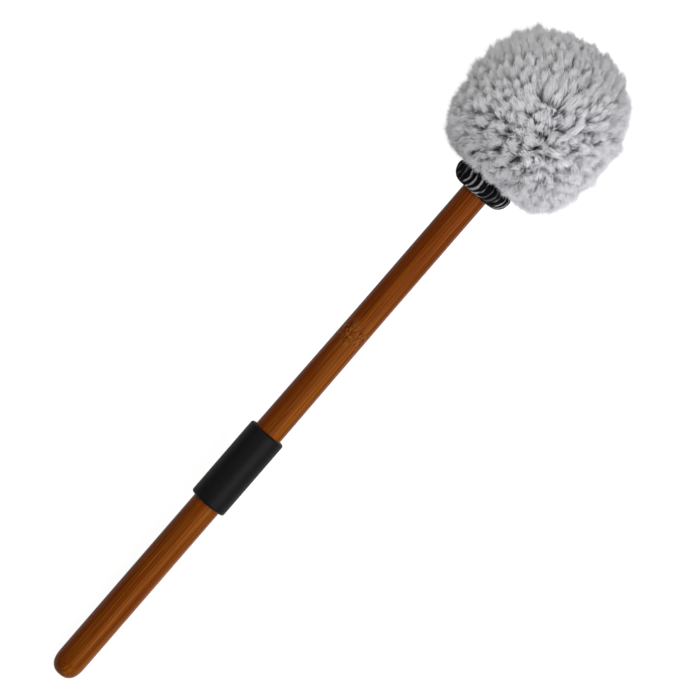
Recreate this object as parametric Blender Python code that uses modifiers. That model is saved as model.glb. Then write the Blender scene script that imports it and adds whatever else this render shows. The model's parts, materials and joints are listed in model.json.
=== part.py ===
"""A soft percussion mallet, laid on its side as on a table.

A tapered bamboo shaft carries a turned hardwood core, screwed to the shaft's tenon. Felt is
wound round the core and caps both its ends. A deep fleece cover goes over the felt; its mouth
is drawn in round the neck, bound with thread, and finished with a gathered fabric casing that
holds a drawcord. A push-on rubber sleeve on the shaft marks the grip.

Every piece is built standing up, with the mallet's axis on local Z and the butt at the bottom.
The empty named mallet_axis then lays the whole mallet down until the head and the butt both
touch the ground at z = 0. All sizes are in metres.
"""

import math
import random

import bmesh
import bpy
from mathutils import Vector

# Clearance kept between two pieces that touch on the real mallet
SEAT_GAP = 0.0003

# Bamboo shaft
BUTT_RADIUS = 0.0080
NECK_RADIUS = 0.00752
HANDLE_LENGTH = 0.3268
TAPER_START = 0.140
TAPER_LENGTH = 0.109
BUTT_ROUNDING = 0.0105
BUTT_SQUARENESS = 2.5
TENON_RADIUS = 0.0060
TENON_CHAMFER = 0.0008

# Rubber grip sleeve
SLEEVE_START = 0.1167
SLEEVE_LENGTH = 0.0480
SLEEVE_WALL = 0.00215
SLEEVE_EDGE = 0.0013
SLEEVE_BORE_CHAMFER = 0.0004

# Turned core
CORE_RADIUS = 0.0220
CORE_HEIGHT = 0.0470
CORE_EDGE = 0.0020
CORE_WEB = 0.0114

# Core screw and washer
WASHER_RADIUS = 0.0085
WASHER_THICKNESS = 0.0012
WASHER_PLAY = 0.0015
SCREW_LENGTH = 0.0300
SCREW_RADIUS = 0.0020
SCREW_POINT = 0.0045
SCREW_HEAD_RADIUS = 0.0041
SCREW_HEAD_HEIGHT = 0.0028
SCREW_SINK = 0.0010
SCREW_SLOT_WIDTH = 0.0010
SCREW_SLOT_DEPTH = 0.0011

# Felt under the fleece
FELT_THICKNESS = 0.0042
FELT_TURNS = 2
FELT_LAP_ANGLE = math.radians(24)
BASE_FELT_THICKNESS = 0.0056
CROWN_FELT_THICKNESS = 0.0117
FELT_LAND = 0.0010

# Fleece cover
PILE_DEPTH = 0.0121
BELLY_RISE = 0.0257
CROWN_SQUARENESS = 2.1
SHOULDER_SQUARENESS = 3.3
FLEECE_OVERHANG = 0.0024
TUFT_SPACING = 0.0110
TUFT_RELIEF = 0.0028
TUFT_RISE = 0.0006
TUFT_SCATTER = 0.42
PRESSED_RISE = 0.0100
GATHERS = 12
PLEAT_DEPTH = 0.0014
PLEAT_LEAN = 0.4
PLEAT_FADE = 4
RESTING_FLAT = 0.0018

# Drawn-in neck of the fleece, and its binding thread
CUFF_THICKNESS = 0.0022
CUFF_RIPPLE = 0.00015
THREAD_RADIUS = 0.0005
THREAD_SPACING = 0.0006

# Gathered casing and its drawcord
COLLAR_HEIGHT = 0.0114
CASING_WALL = 0.0008
FOLD_DEPTH = 0.0007
CASING_SQUARENESS = 2.8
CASING_CORNER = 0.00083
CASING_TURN_IN = 64
FOLD_SHARE_AT_ENDS = 0.45
FOLD_SHARE_AT_LIP = 0.1
FOLD_UNEVENNESS = 0.22
FOLD_SWELLS = 5
DRAWCORD_RADIUS = 0.0010
DRAWCORD_SPACING = 0.0005

# Fineness of the round pieces
SHAFT_STEPS = 64
ROUND_STEPS = 48
SMALL_STEPS = 32
STEPS_PER_PLEAT = 5
CROWN_STEPS = 15
SHOULDER_STEPS = 13
STEPS_PER_FOLD = 6
POINTS_PER_TURN = 20

# Radii that follow from the sizes above, from the shaft outwards
SLEEVE_BORE = BUTT_RADIUS + SEAT_GAP
SHAFT_HOLE = NECK_RADIUS + SEAT_GAP
SCREW_HOLE = SCREW_RADIUS + SEAT_GAP
RECESS_RADIUS = WASHER_RADIUS + WASHER_PLAY
FELT_RADIUS = CORE_RADIUS + FELT_TURNS * (FELT_THICKNESS + SEAT_GAP)
HEAD_RADIUS = FELT_RADIUS + SEAT_GAP + PILE_DEPTH
CUFF_RADIUS = SHAFT_HOLE + CUFF_THICKNESS
BINDING_RADIUS = CUFF_RADIUS + CUFF_RIPPLE + SEAT_GAP + THREAD_RADIUS
DRAWCORD_RING = BINDING_RADIUS + THREAD_RADIUS + SEAT_GAP + DRAWCORD_RADIUS
CASING_RADIUS = DRAWCORD_RING + DRAWCORD_RADIUS + SEAT_GAP + FOLD_DEPTH + CASING_WALL / 2
COLLAR_RADIUS = CASING_RADIUS + FOLD_DEPTH + CASING_WALL / 2

# Lengths that follow from the sizes above
RECESS_DEPTH = SEAT_GAP + WASHER_THICKNESS + SEAT_GAP + SCREW_HEAD_HEIGHT + SCREW_SINK
TENON_LENGTH = CORE_HEIGHT - RECESS_DEPTH - CORE_WEB
BINDING_PITCH = 2 * THREAD_RADIUS + THREAD_SPACING
DRAWCORD_PITCH = 2 * DRAWCORD_RADIUS + DRAWCORD_SPACING
CASING_ROOM = COLLAR_HEIGHT - 2 * (CASING_WALL + FOLD_DEPTH + CASING_CORNER)

# Levels that follow from the sizes above, counted along the axis from the butt
TAPER_END = TAPER_START + TAPER_LENGTH
COLLAR_TOP = HANDLE_LENGTH + COLLAR_HEIGHT
CUFF_BOTTOM = HANDLE_LENGTH + CASING_WALL + FOLD_DEPTH + SEAT_GAP
FLEECE_UNDERSIDE = COLLAR_TOP + SEAT_GAP
SHOULDER_LEVEL = COLLAR_TOP - FLEECE_OVERHANG
BASE_FELT_LEVEL = SHOULDER_LEVEL + PILE_DEPTH + SEAT_GAP
CORE_LEVEL = BASE_FELT_LEVEL + BASE_FELT_THICKNESS + SEAT_GAP
BELLY_LEVEL = CORE_LEVEL + BELLY_RISE
CORE_TOP = CORE_LEVEL + CORE_HEIGHT
RECESS_FLOOR = CORE_TOP - RECESS_DEPTH
WASHER_LEVEL = RECESS_FLOOR + SEAT_GAP
SCREW_LEVEL = WASHER_LEVEL + WASHER_THICKNESS + SEAT_GAP
CROWN_FELT_LEVEL = CORE_TOP + SEAT_GAP
CROWN_FELT_TOP = CROWN_FELT_LEVEL + CROWN_FELT_THICKNESS
TIP_LEVEL = CROWN_FELT_TOP + SEAT_GAP + PILE_DEPTH
SHAFT_SHOULDER = CORE_LEVEL - SEAT_GAP
TENON_TOP = SHAFT_SHOULDER + TENON_LENGTH
BORE_TOP = TENON_TOP + SEAT_GAP


def clear_scene():
    for old in list(bpy.data.objects):
        bpy.data.objects.remove(old, do_unlink=True)


def new_collection(name):
    collection = bpy.data.collections.new(name)
    bpy.context.scene.collection.children.link(collection)
    return collection


def finish(name, colour, roughness, metallic=0.0):
    """A plain Principled material with a piece's own colour."""
    material = bpy.data.materials.new(name)
    material.use_nodes = True
    shader = material.node_tree.nodes["Principled BSDF"]
    shader.inputs["Base Color"].default_value = (*colour, 1.0)
    shader.inputs["Roughness"].default_value = roughness
    shader.inputs["Metallic"].default_value = metallic
    return material


def arc(centre, radii, start, end, count, squareness=2.0):
    """Points along a superellipse, as (radius, level); squareness 2 is a true ellipse."""
    points = []
    for i in range(count + 1):
        angle = math.radians(start + (end - start) * i / count)
        across, along = math.cos(angle), math.sin(angle)
        reach = (abs(across) ** squareness + abs(along) ** squareness) ** (-1 / squareness)
        radius = centre[0] + radii[0] * reach * across
        points.append((radius, centre[1] + radii[1] * reach * along))
    return points


def at_level(points, level):
    """The same profile, raised along the axis."""
    return [(radius, height + level) for radius, height in points]


def add_mesh(name, mesh, material):
    obj = bpy.data.objects.new(name, mesh)
    obj.data.materials.append(material)
    parts.objects.link(obj)
    obj.parent = axis
    return obj


def apply_modifiers(obj):
    """Replaces the mesh by what its modifiers make of it, shaded smooth up to a sharp edge."""
    shaped = obj.evaluated_get(bpy.context.evaluated_depsgraph_get())
    mesh = bpy.data.meshes.new_from_object(shaped)
    obj.modifiers.clear()
    obj.data = mesh
    mesh.shade_smooth()
    mesh.set_sharp_from_angle(angle=math.radians(35))
    return obj


def turned(name, profile, material, steps=ROUND_STEPS, ring=False):
    """A piece turned on a lathe. The profile runs top to bottom down the outer side; a ring's
    profile closes on itself, and any other starts and ends on the axis."""
    edges = [(i, i + 1) for i in range(len(profile) - 1)]
    if ring:
        edges.append((len(profile) - 1, 0))
    mesh = bpy.data.meshes.new(name)
    mesh.from_pydata([(radius, 0, level) for radius, level in profile], edges, [])
    obj = add_mesh(name, mesh, material)
    screw = obj.modifiers.new("turn", "SCREW")
    screw.steps = screw.render_steps = steps
    screw.use_merge_vertices = True
    screw.merge_threshold = 0.00001
    return apply_modifiers(obj)


def wound(name, points, radius, material, resolution=1):
    """One unbroken length of cord along the points, with flat cut ends."""
    curve = bpy.data.curves.new(name, "CURVE")
    curve.dimensions = "3D"
    curve.bevel_depth = radius
    curve.bevel_resolution = resolution
    curve.use_fill_caps = True
    spline = curve.splines.new("POLY")
    spline.points.add(len(points) - 1)
    for spot, point in zip(spline.points, points):
        spot.co = (*point, 1)
    obj = bpy.data.objects.new(name, curve)
    curve.materials.append(material)
    parts.objects.link(obj)
    obj.parent = axis
    print(f"{name}: least gap to itself {least_gap(points, radius) * 1000:.2f} mm")
    return obj


def helix(radius, middle, turns, pitch):
    """The points of a helix round the axis, centred on a level."""
    count = round(turns * POINTS_PER_TURN)
    bottom = middle - turns * pitch / 2
    points = []
    for i in range(count + 1):
        angle = 2 * math.pi * i / POINTS_PER_TURN
        level = bottom + pitch * i / POINTS_PER_TURN
        points.append(Vector((radius * math.cos(angle), radius * math.sin(angle), level)))
    return points


def least_gap(points, radius):
    """The least gap between neighbouring turns of a winding, measured on its points."""
    apart = POINTS_PER_TURN // 2
    nearest = min(
        (a - b).length for i, a in enumerate(points) for b in points[i + apart :]
    )
    return nearest - 2 * radius


def shaft_profile():
    """Pilot hole, tenon, shoulder and taper, down to the rounded butt."""
    pilot_bottom = SCREW_LEVEL - SCREW_LENGTH - SEAT_GAP
    head_end = [
        (0, pilot_bottom),
        (SCREW_HOLE, pilot_bottom),
        (SCREW_HOLE, TENON_TOP),
        (TENON_RADIUS - TENON_CHAMFER, TENON_TOP),
        (TENON_RADIUS, TENON_TOP - TENON_CHAMFER),
        (TENON_RADIUS, SHAFT_SHOULDER),
        (NECK_RADIUS, SHAFT_SHOULDER),
        (NECK_RADIUS, TAPER_END),
        (BUTT_RADIUS, TAPER_START),
    ]
    butt = arc((0, BUTT_ROUNDING), (BUTT_RADIUS, BUTT_ROUNDING), 0, -90, 9, BUTT_SQUARENESS)
    return head_end + butt


def make_shaft():
    bamboo = finish("carbonised_bamboo", (0.36, 0.13, 0.035), 0.3)
    return turned("bamboo_shaft", shaft_profile(), bamboo, SHAFT_STEPS)


def make_sleeve():
    """Its origin is on the shaft's axis, along which it can be pushed."""
    outer = SLEEVE_BORE + SLEEVE_WALL
    corner = outer - SLEEVE_EDGE
    top_edge = arc((corner, SLEEVE_LENGTH - SLEEVE_EDGE), (SLEEVE_EDGE, SLEEVE_EDGE), 90, 0, 4)
    bottom_edge = arc((corner, SLEEVE_EDGE), (SLEEVE_EDGE, SLEEVE_EDGE), 0, -90, 4)
    bore = [
        (SLEEVE_BORE + SLEEVE_BORE_CHAMFER, 0),
        (SLEEVE_BORE, SLEEVE_BORE_CHAMFER),
        (SLEEVE_BORE, SLEEVE_LENGTH - SLEEVE_BORE_CHAMFER),
        (SLEEVE_BORE + SLEEVE_BORE_CHAMFER, SLEEVE_LENGTH),
    ]
    rubber = finish("black_rubber", (0.012, 0.012, 0.014), 0.6)
    sleeve = turned("grip_sleeve", top_edge + bottom_edge + bore, rubber, SHAFT_STEPS, ring=True)
    sleeve.location.z = SLEEVE_START
    return sleeve


def make_core():
    """Hardwood core: a blind bore for the tenon, and a recess on top for washer and screw."""
    corner = CORE_RADIUS - CORE_EDGE
    tenon_bore = TENON_RADIUS + SEAT_GAP
    outside = arc((corner, CORE_TOP - CORE_EDGE), (CORE_EDGE, CORE_EDGE), 90, 0, 3)
    outside += arc((corner, CORE_LEVEL + CORE_EDGE), (CORE_EDGE, CORE_EDGE), 0, -90, 3)
    inside = [
        (tenon_bore, CORE_LEVEL),
        (tenon_bore, BORE_TOP),
        (SCREW_HOLE, BORE_TOP),
        (SCREW_HOLE, RECESS_FLOOR),
        (RECESS_RADIUS, RECESS_FLOOR),
        (RECESS_RADIUS, CORE_TOP),
    ]
    maple = finish("turned_hardwood", (0.55, 0.36, 0.2), 0.5)
    return turned("head_core", outside + inside, maple, ROUND_STEPS, ring=True)


def make_washer():
    section = [
        (WASHER_RADIUS, WASHER_THICKNESS),
        (WASHER_RADIUS, 0),
        (SCREW_HOLE, 0),
        (SCREW_HOLE, WASHER_THICKNESS),
    ]
    zinc = finish("zinc_plate", (0.6, 0.6, 0.62), 0.35, 1.0)
    return turned("core_washer", at_level(section, WASHER_LEVEL), zinc, SMALL_STEPS, ring=True)


def make_screw():
    """Domed wood screw with a straight slot."""
    head = arc((0, 0), (SCREW_HEAD_RADIUS, SCREW_HEAD_HEIGHT), 90, 0, 4)
    shank = [(SCREW_RADIUS, 0), (SCREW_RADIUS, SCREW_POINT - SCREW_LENGTH), (0, -SCREW_LENGTH)]
    steel = finish("screw_steel", (0.55, 0.55, 0.56), 0.3, 1.0)
    screw = turned("core_screw", at_level(head + shank, SCREW_LEVEL), steel, SMALL_STEPS)
    bpy.ops.mesh.primitive_cube_add(size=1)
    slot = bpy.context.object
    slot_reach = 2 * SCREW_HEAD_HEIGHT
    slot_floor = SCREW_LEVEL + SCREW_HEAD_HEIGHT - SCREW_SLOT_DEPTH
    slot.scale = (4 * SCREW_HEAD_RADIUS, SCREW_SLOT_WIDTH, slot_reach)
    slot.location = (0, 0, slot_floor + slot_reach / 2)
    as_cutter(slot, "screw_slot_cutter")
    slot.parent = axis
    cut(screw, slot)
    return screw


def as_cutter(obj, name):
    """Takes a shape out of the model: it only cuts other pieces."""
    obj.name = name
    obj.hide_render = True
    obj.display_type = "WIRE"
    for collection in list(obj.users_collection):
        collection.objects.unlink(obj)
    cutters.objects.link(obj)


def cut(obj, cutter):
    boolean = obj.modifiers.new("cut", "BOOLEAN")
    boolean.operation = "DIFFERENCE"
    boolean.solver = "EXACT"
    boolean.object = cutter


def strip_radius(angle):
    """How far out the felt strip's inner face lies: it climbs over its own start in each lap."""
    turn, rest = divmod(angle, 2 * math.pi)
    climb = max(0.0, (rest - (2 * math.pi - FELT_LAP_ANGLE)) / FELT_LAP_ANGLE)
    eased = climb * climb * (3 - 2 * climb)
    return CORE_RADIUS + SEAT_GAP + (turn + eased) * (FELT_THICKNESS + SEAT_GAP)


def make_felt_wrap():
    """One felt strip, wound round the core: a ribbon along its winding, given its thickness."""
    step = 2 * math.pi / ROUND_STEPS
    clear_end = FELT_LAP_ANGLE + SEAT_GAP / CORE_RADIUS
    last = 2 * math.pi * FELT_TURNS - clear_end
    count = math.ceil(last / step)
    shape = bmesh.new()
    before = None
    for i in range(count + 1):
        angle = last * i / count
        radius = strip_radius(angle)
        across, along = radius * math.cos(angle), radius * math.sin(angle)
        low = shape.verts.new((across, along, CORE_LEVEL))
        high = shape.verts.new((across, along, CORE_TOP))
        if before:
            shape.faces.new((before[0], low, high, before[1]))
        before = (low, high)
    mesh = bpy.data.meshes.new("felt_wrap")
    shape.to_mesh(mesh)
    shape.free()
    felt = finish("wrap_felt", (0.62, 0.6, 0.55), 0.95)
    wrap = add_mesh("felt_wrap", mesh, felt)
    thicken = wrap.modifiers.new("thickness", "SOLIDIFY")
    thicken.thickness = FELT_THICKNESS
    thicken.offset = 1
    thicken.use_even_offset = True
    return apply_modifiers(wrap)


def crown_arc(clearance, count):
    """The felt crown's dome, or a surface that clears it."""
    centre = (0, CROWN_FELT_LEVEL + FELT_LAND)
    rise = CROWN_FELT_THICKNESS - FELT_LAND
    return arc(centre, (FELT_RADIUS + clearance, rise + clearance), 90, 0, count)


def base_arc(clearance, count):
    """The base felt's rounded shoulder, or a surface that clears it."""
    flat_radius = (FELT_RADIUS + SHAFT_HOLE) / 2
    top = CORE_LEVEL - SEAT_GAP - FELT_LAND
    rounding = BASE_FELT_THICKNESS - FELT_LAND
    radii = (FELT_RADIUS - flat_radius + clearance, rounding + clearance)
    return arc((flat_radius, top), radii, 0, -90, count)


def make_felt_caps():
    """A domed felt disc over the core's far end, and a felt ring under it, round the shaft."""
    felt = finish("cap_felt", (0.66, 0.64, 0.6), 0.95)
    crown = crown_arc(0, 6) + [(FELT_RADIUS, CROWN_FELT_LEVEL), (0, CROWN_FELT_LEVEL)]
    turned("felt_crown", crown, felt)
    ring_top = CORE_LEVEL - SEAT_GAP
    base = [(FELT_RADIUS, ring_top)] + base_arc(0, 4)
    base += [(SHAFT_HOLE, BASE_FELT_LEVEL), (SHAFT_HOLE, ring_top)]
    turned("felt_base", base, felt, ring=True)


def fleece_profile():
    """Outside of the fleece from the tip to the cuff, then its inside back up to the axis."""
    belly = (0, BELLY_LEVEL)
    rise, drop = TIP_LEVEL - BELLY_LEVEL, BELLY_LEVEL - SHOULDER_LEVEL
    crown = arc(belly, (HEAD_RADIUS, rise), 90, 0, CROWN_STEPS, CROWN_SQUARENESS)
    rim_radius = COLLAR_RADIUS + SEAT_GAP
    rim_slope = ((HEAD_RADIUS / rim_radius) ** SHOULDER_SQUARENESS - 1) ** (1 / SHOULDER_SQUARENESS)
    rim_angle = -math.degrees(math.atan(rim_slope))
    shoulder = arc(belly, (HEAD_RADIUS, drop), 0, rim_angle, SHOULDER_STEPS, SHOULDER_SQUARENESS)
    neck = [
        (rim_radius, FLEECE_UNDERSIDE),
        (CUFF_RADIUS, FLEECE_UNDERSIDE),
        (CUFF_RADIUS, CUFF_BOTTOM),
        (SHAFT_HOLE, CUFF_BOTTOM),
        (SHAFT_HOLE, BASE_FELT_LEVEL - SEAT_GAP),
    ]
    inside = base_arc(SEAT_GAP, 3)[::-1] + crown_arc(SEAT_GAP, 5)[::-1]
    return crown + shoulder[1:] + neck + inside


def tuft_directions():
    """Where the tufts of the pile stand, seen from the belly's middle: spread over the head along
    a spiral from its tip, each one then moved a little aside by chance."""
    chance = random.Random(7)
    reach = TUFT_SCATTER * TUFT_SPACING / HEAD_RADIUS
    area = 4 * math.pi * HEAD_RADIUS**2
    count = round(area / (math.sqrt(0.75) * TUFT_SPACING**2))
    golden_angle = math.pi * (3 - math.sqrt(5))
    directions = []
    for i in range(count):
        along = 1 - 2 * i / (count - 1)
        across = math.sqrt(1 - along * along)
        angle = i * golden_angle
        even = Vector((across * math.cos(angle), across * math.sin(angle), along))
        aside = Vector([chance.uniform(-reach, reach) for _ in range(3)])
        directions.append((even + aside).normalized())
    return directions


def tuft_height(direction, tufts):
    """How far the pile rises over its even surface in this direction: each tuft is a low dome,
    and between them the pile sinks."""
    away = HEAD_RADIUS * min((direction - tuft).length for tuft in tufts)
    sunk = (1 - math.cos(math.pi * min(1.0, 2 * away / TUFT_SPACING))) / 2
    return TUFT_RISE - TUFT_RELIEF * sunk


def shape_fleece(mesh):
    """Parts the pile into tufts, which are pressed away where the head rests on the ground,
    draws the shoulder in to pleats round the mouth, and ripples the cuff with them."""
    tufts = tuft_directions()
    for vertex in mesh.vertices:
        x, y, level = vertex.co
        radius = math.hypot(x, y)
        wave = math.cos(GATHERS * math.atan2(y, x))
        outward = Vector((x, y, 0)).normalized() if radius else Vector()
        if abs(radius - CUFF_RADIUS) < SEAT_GAP / 2 and level < BASE_FELT_LEVEL - PILE_DEPTH / 2:
            vertex.co += outward * CUFF_RIPPLE * wave
        elif on_outside(radius, level):
            share = max(0.0, (BELLY_LEVEL - level) / (BELLY_LEVEL - SHOULDER_LEVEL))
            drawn_in = share**PLEAT_FADE
            above_ground = (axis.matrix_world @ vertex.co).z
            unpressed = min(1.0, max(0.0, above_ground / PRESSED_RISE))
            direction = (vertex.co - Vector((0, 0, BELLY_LEVEL))).normalized()
            height = tuft_height(direction, tufts) * (1 - drawn_in) * unpressed
            groove = PLEAT_DEPTH * drawn_in * (1 - wave) / 2
            inward = Vector((0, 0, 1)) - PLEAT_LEAN * outward
            vertex.co += inward.normalized() * groove + direction * height


def on_outside(radius, level):
    """Whether a point is on the fleece's outer surface, from its tip to its mouth."""
    if level > BELLY_LEVEL:
        half, squareness = TIP_LEVEL - BELLY_LEVEL, CROWN_SQUARENESS
    else:
        half, squareness = BELLY_LEVEL - SHOULDER_LEVEL, SHOULDER_SQUARENESS
        if radius <= COLLAR_RADIUS:
            return False
    along = abs(level - BELLY_LEVEL) / half
    reach = ((radius / HEAD_RADIUS) ** squareness + along**squareness) ** (1 / squareness)
    return abs(reach - 1) < SEAT_GAP / HEAD_RADIUS


def make_fleece():
    """The cover, pressed flat where the head rests on the ground."""
    grey_fleece = finish("grey_fleece", (0.62, 0.62, 0.63), 0.95)
    fleece = turned("fleece_cover", fleece_profile(), grey_fleece, STEPS_PER_PLEAT * GATHERS)
    shape_fleece(fleece.data)
    bpy.ops.mesh.primitive_cube_add(size=1)
    ground = bpy.context.object
    ground.scale = (4 * HEAD_RADIUS, 4 * HEAD_RADIUS, HEAD_RADIUS)
    belly_place = axis.matrix_world @ Vector((0, 0, BELLY_LEVEL))
    ground.location = (belly_place.x, 0, -HEAD_RADIUS / 2)
    as_cutter(ground, "ground_cutter")
    cut(fleece, ground)
    return fleece


def make_binding():
    """Waxed thread, wound round the drawn-in cuff to hold it to the neck."""
    room = FLEECE_UNDERSIDE - CUFF_BOTTOM - 2 * THREAD_RADIUS - 2 * SEAT_GAP
    turns = math.floor(room / BINDING_PITCH)
    middle = (FLEECE_UNDERSIDE + CUFF_BOTTOM) / 2
    thread = finish("binding_thread", (0.03, 0.03, 0.03), 0.7)
    points = helix(BINDING_RADIUS, middle, turns, BINDING_PITCH)
    return wound("neck_binding", points, THREAD_RADIUS, thread)


def make_drawcord():
    """The cord inside the casing that gathers it, in nearly two turns."""
    turns = (CASING_ROOM - 2 * DRAWCORD_RADIUS) / DRAWCORD_PITCH
    middle = HANDLE_LENGTH + COLLAR_HEIGHT / 2
    cord = finish("drawcord_black", (0.02, 0.02, 0.022), 0.8)
    points = helix(DRAWCORD_RING, middle, turns, DRAWCORD_PITCH)
    return wound("drawcord", points, DRAWCORD_RADIUS, cord)


def casing_section():
    """Half a section of the casing, from its lower lip at the shaft round to its upper lip, as
    (radius, level, outward direction, share of the fold's depth)."""
    half_height = COLLAR_HEIGHT / 2 - FOLD_DEPTH / 2 - CASING_WALL / 2
    middle = HANDLE_LENGTH + COLLAR_HEIGHT / 2
    lower_lip = SHAFT_HOLE + CASING_WALL / 2
    upper_lip = BINDING_RADIUS + THREAD_RADIUS + SEAT_GAP + CASING_WALL / 2
    rounding = (CASING_RADIUS - lower_lip) / 2
    centre = (CASING_RADIUS - rounding, middle)
    steps = 5
    belly = arc(centre, (rounding, half_height), -90, CASING_TURN_IN, steps, CASING_SQUARENESS)
    section = [(lower_lip, middle - half_height, -90, 0.0)]
    for i, (radius, level) in enumerate(belly):
        lean = -90 + (CASING_TURN_IN + 90) * i / steps
        bulge = (1 - FOLD_SHARE_AT_ENDS) * math.cos(math.radians(lean))
        section.append((radius, level, lean, FOLD_SHARE_AT_ENDS + bulge))
    section.append((upper_lip, middle + half_height, 90, FOLD_SHARE_AT_LIP))
    return section


def make_casing():
    """Fabric casing gathered on the drawcord: an open C-shaped section carried round the neck,
    its folds deepest at the belly and gone at the lips, then given the cloth's thickness."""
    around = GATHERS * STEPS_PER_FOLD
    section = casing_section()
    shape = bmesh.new()
    rings = []
    for i in range(around):
        angle = 2 * math.pi * i / around
        swell = math.cos(FOLD_SWELLS * angle + 1)
        wave = math.cos(GATHERS * angle) * (1 - FOLD_UNEVENNESS * (1 - swell))
        outward = Vector((math.cos(angle), math.sin(angle), 0))
        ring = []
        for radius, level, lean, share in section:
            lean = math.radians(lean)
            normal = outward * math.cos(lean) + Vector((0, 0, math.sin(lean)))
            place = outward * radius + Vector((0, 0, level))
            ring.append(shape.verts.new(place + normal * FOLD_DEPTH * share * wave))
        rings.append(ring)
    for ring, following in zip(rings, rings[1:] + rings[:1]):
        for i in range(len(section) - 1):
            shape.faces.new((ring[i], following[i], following[i + 1], ring[i + 1]))
    mesh = bpy.data.meshes.new("collar_casing")
    shape.to_mesh(mesh)
    shape.free()
    print_cotton = finish("striped_cotton", (0.03, 0.03, 0.035), 0.85)
    casing = add_mesh("collar_casing", mesh, print_cotton)
    thicken = casing.modifiers.new("cloth", "SOLIDIFY")
    thicken.thickness = CASING_WALL
    thicken.offset = 0
    thicken.use_even_offset = True
    return apply_modifiers(casing)


def lowest(profile, tilt):
    """How low the underside of a turned profile reaches once the axis leans up by the tilt."""
    return min(level * math.sin(tilt) - radius * math.cos(tilt) for radius, level in profile)


def resting_tilt(shaft, head):
    """The axis's slope when the butt and the head's pressed-in underside both touch the ground."""
    low, high = 0.0, math.radians(45)
    for _ in range(50):
        tilt = (low + high) / 2
        if lowest(head, tilt) + RESTING_FLAT < lowest(shaft, tilt):
            low = tilt
        else:
            high = tilt
    return tilt


def lay_down():
    """Slopes the axis, stands it on the ground and centres the mallet's length on the origin."""
    shaft, head = shaft_profile(), fleece_profile()
    tilt = resting_tilt(shaft, head)
    butt_end = min(level * math.cos(tilt) - radius * math.sin(tilt) for radius, level in shaft)
    head_end = max(level * math.cos(tilt) + radius * math.sin(tilt) for radius, level in head)
    axis.rotation_euler.y = math.pi / 2 - tilt
    axis.location = (-(butt_end + head_end) / 2, 0, -lowest(shaft, tilt))
    bpy.context.view_layer.update()
    print(f"axis slopes {math.degrees(tilt):.3f} degrees, butt at {tuple(axis.location)}")
    return tilt


clear_scene()
parts = new_collection("percussion_mallet")
cutters = new_collection("cutters")
axis = bpy.data.objects.new("mallet_axis", None)
parts.objects.link(axis)
lay_down()
make_shaft()
make_sleeve()
make_core()
make_washer()
make_screw()
make_felt_wrap()
make_felt_caps()
make_fleece()
make_binding()
make_drawcord()
make_casing()
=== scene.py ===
"""The looks of a soft percussion mallet: a bamboo shaft with a rubber sleeve, a deep fleece head
and a gathered collar of striped cotton. The pieces come in the order in which they go together.
All sizes are in metres, and levels are counted along the mallet's axis from its butt.
"""

import json
import math

import bmesh
import bpy
import numpy as np
from mathutils import Matrix, Vector
from mathutils.bvhtree import BVHTree

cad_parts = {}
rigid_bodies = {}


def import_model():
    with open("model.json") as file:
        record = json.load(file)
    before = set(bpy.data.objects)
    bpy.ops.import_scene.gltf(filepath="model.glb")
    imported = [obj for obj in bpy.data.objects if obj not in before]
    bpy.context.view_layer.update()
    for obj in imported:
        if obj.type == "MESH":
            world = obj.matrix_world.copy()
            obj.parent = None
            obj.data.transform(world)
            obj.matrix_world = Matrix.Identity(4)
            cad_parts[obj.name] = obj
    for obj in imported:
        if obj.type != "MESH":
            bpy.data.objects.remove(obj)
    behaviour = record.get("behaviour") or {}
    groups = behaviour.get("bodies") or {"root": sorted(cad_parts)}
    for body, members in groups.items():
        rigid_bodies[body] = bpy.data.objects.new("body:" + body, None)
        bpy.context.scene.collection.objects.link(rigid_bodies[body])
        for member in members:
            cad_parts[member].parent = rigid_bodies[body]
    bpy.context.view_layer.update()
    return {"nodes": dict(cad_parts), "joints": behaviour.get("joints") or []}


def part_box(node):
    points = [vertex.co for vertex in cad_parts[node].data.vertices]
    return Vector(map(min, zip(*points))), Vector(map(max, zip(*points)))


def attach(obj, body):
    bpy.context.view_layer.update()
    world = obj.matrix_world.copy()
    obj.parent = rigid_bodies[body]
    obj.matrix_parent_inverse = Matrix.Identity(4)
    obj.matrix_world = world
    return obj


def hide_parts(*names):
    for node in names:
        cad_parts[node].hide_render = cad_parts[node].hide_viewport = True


for leftover in list(bpy.data.objects):
    bpy.data.objects.remove(leftover, do_unlink=True)
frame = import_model()
nodes = frame["nodes"]


# Bamboo shaft
# A rod of carbonised bamboo, turned round, tapered a little towards the head and rounded at the
# butt. Its fibres run straight along it, broken by one node, under a clear gloss. Its upper end
# is cut down to a tenon, with a pilot hole for the core's screw.

axis = Vector(frame["joints"][0]["axis"]).normalized()
side = Vector((0, 1, 0))
above = axis.cross(side)
sleeve_low, sleeve_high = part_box("grip_sleeve")
sleeve_middle = (sleeve_low + sleeve_high) / 2


def points_of(node):
    return np.array([vertex.co for vertex in nodes[node].data.vertices])


butt = sleeve_middle + axis * ((points_of("bamboo_shaft") @ axis).min() - sleeve_middle @ axis)


def levels_and_radii(node):
    """How far along the mallet's axis, and how far out from it, a piece's vertices lie."""
    along = (points_of(node) - butt) @ axis
    out = points_of(node) - butt - np.outer(along, axis)
    return along, np.linalg.norm(out, axis=1)


def placed(level, radius, angle):
    """The place of points given round the mallet's axis, as an array of three coordinates."""
    level, radius, angle = (np.asarray(value, float)[..., None] for value in (level, radius, angle))
    outward = np.cos(angle) * np.array(side) + np.sin(angle) * np.array(above)
    return np.array(butt) + level * np.array(axis) + radius * outward


TURNED_SIDES = 128
WELD_DISTANCE = 1e-6
SHARP_EDGE = math.radians(40)


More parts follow.
